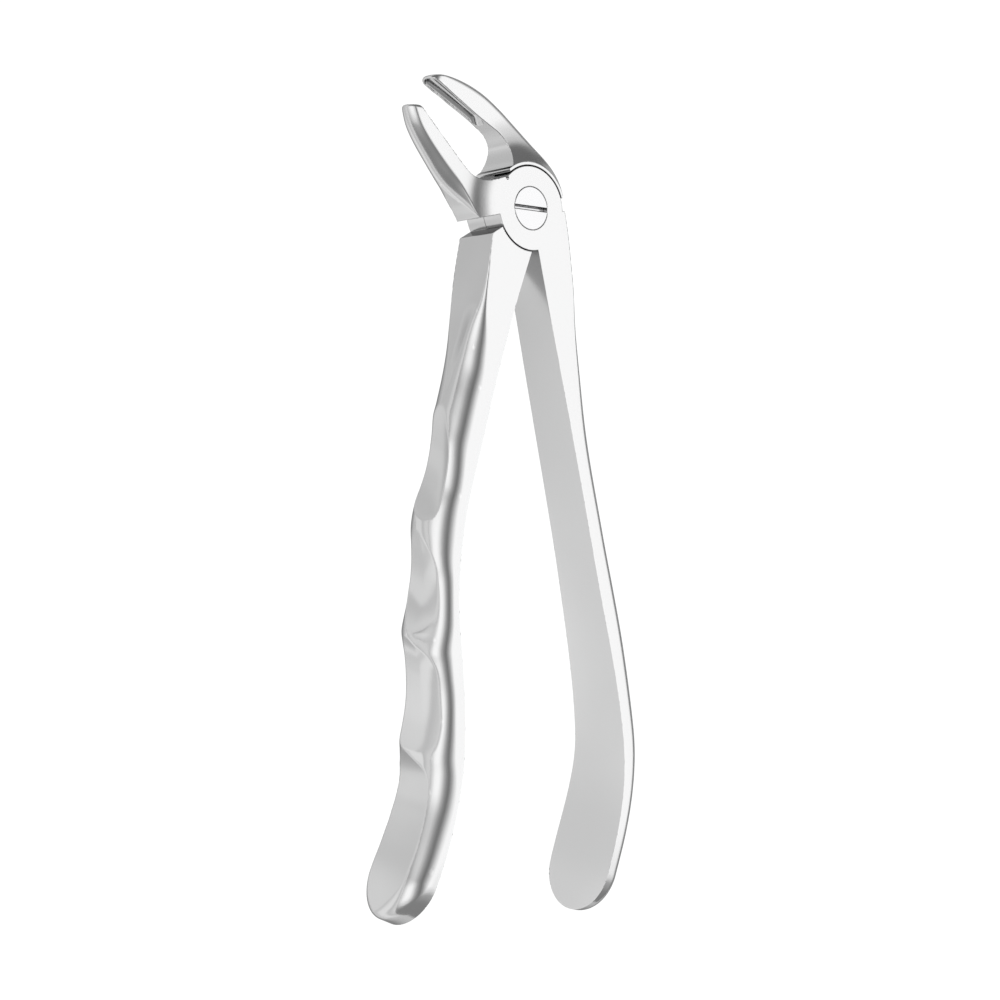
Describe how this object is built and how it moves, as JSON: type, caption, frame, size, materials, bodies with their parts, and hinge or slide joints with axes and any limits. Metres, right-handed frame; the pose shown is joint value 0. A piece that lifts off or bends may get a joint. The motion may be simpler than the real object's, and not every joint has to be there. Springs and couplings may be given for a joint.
{
  "type": "extraction forceps",
  "caption": "Dental extraction forceps: curved beaks, round screw lap joint, one handle with finger grooves and one plain handle.",
  "frame": {"origin": "on the pivot axis, in the plane of the joint's lower (rear) face", "axes": "+Z along the pivot axis towards the slotted screw head, +Y along the forceps towards the beaks, +X towards the plain handle's side"},
  "size_m": [0.0621, 0.1684, 0.0178],
  "materials": {
    "forged_steel": "polished",
    "screw_steel": "polished"
  },
  "bodies": {
    "rear": {"rear_half": "forged_steel", "pivot_screw": "screw_steel"},
    "front": {"front_half": "forged_steel"}
  },
  "joints": [
    {"name": "pivot", "type": "hinge", "parent": "rear", "child": "front", "pos_m": [0, 0, 0.0052], "axis": [0, 0, 1], "range_deg": [-11, 15.5]}
  ]
}
